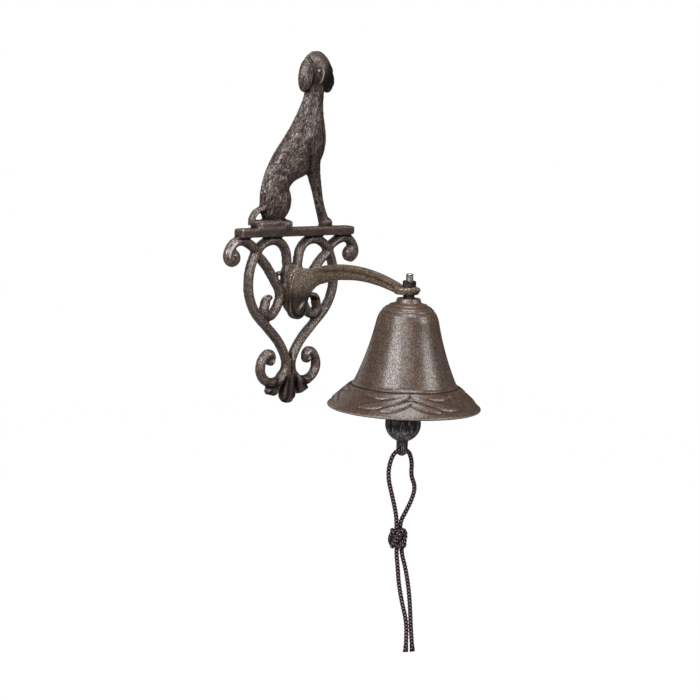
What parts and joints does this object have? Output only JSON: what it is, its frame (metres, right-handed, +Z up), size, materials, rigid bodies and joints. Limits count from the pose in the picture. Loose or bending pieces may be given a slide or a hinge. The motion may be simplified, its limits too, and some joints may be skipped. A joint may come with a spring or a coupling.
{
  "type": "doorbell",
  "caption": "Wall doorbell: scrolled cast-iron bracket with a seated hound, arched arm, flared bell and swinging clapper with a knotted pull cord.",
  "frame": {"origin": "midway between the two wall-screw holes, on the wall face", "axes": "+X along the wall to the right, +Y into the wall, +Z up"},
  "size_m": [0.1502, 0.214, 0.4925],
  "materials": {
    "bracket_iron": "sand-cast with a brown patina",
    "arm_iron": "sand-cast with an olive-brown patina",
    "bell_iron": "smoothed casting with a worn brown patina",
    "clapper_iron": "dark casting",
    "zinc_steel": "bright zinc",
    "black_steel": "blackened",
    "braided_cord": "braided cord"
  },
  "bodies": {
    "bracket": {"wall_bracket": "bracket_iron", "bell_arm": "arm_iron", "arm_screws": "zinc_steel", "bell": "bell_iron", "eye_bolt": "zinc_steel", "top_nut": "black_steel", "seat_washer": "black_steel", "inner_washer": "zinc_steel", "inner_nut": "zinc_steel"},
    "link": {"clapper_link": "zinc_steel"},
    "clapper": {"clapper": "clapper_iron", "cord_loop": "braided_cord", "cord_knot": "braided_cord", "cord_tail_left": "braided_cord", "cord_tail_right": "braided_cord"}
  },
  "joints": [
    {"name": "link_swing", "type": "hinge", "parent": "bracket", "child": "link", "pos_m": [0, -0.151, -0.0285], "axis": [0, 1, 0], "range_deg": [-30, 30]},
    {"name": "clapper_swing", "type": "hinge", "parent": "link", "child": "clapper", "pos_m": [0, -0.151, -0.0485], "axis": [1, 0, 0], "range_deg": [-10, 10]}
  ]
}
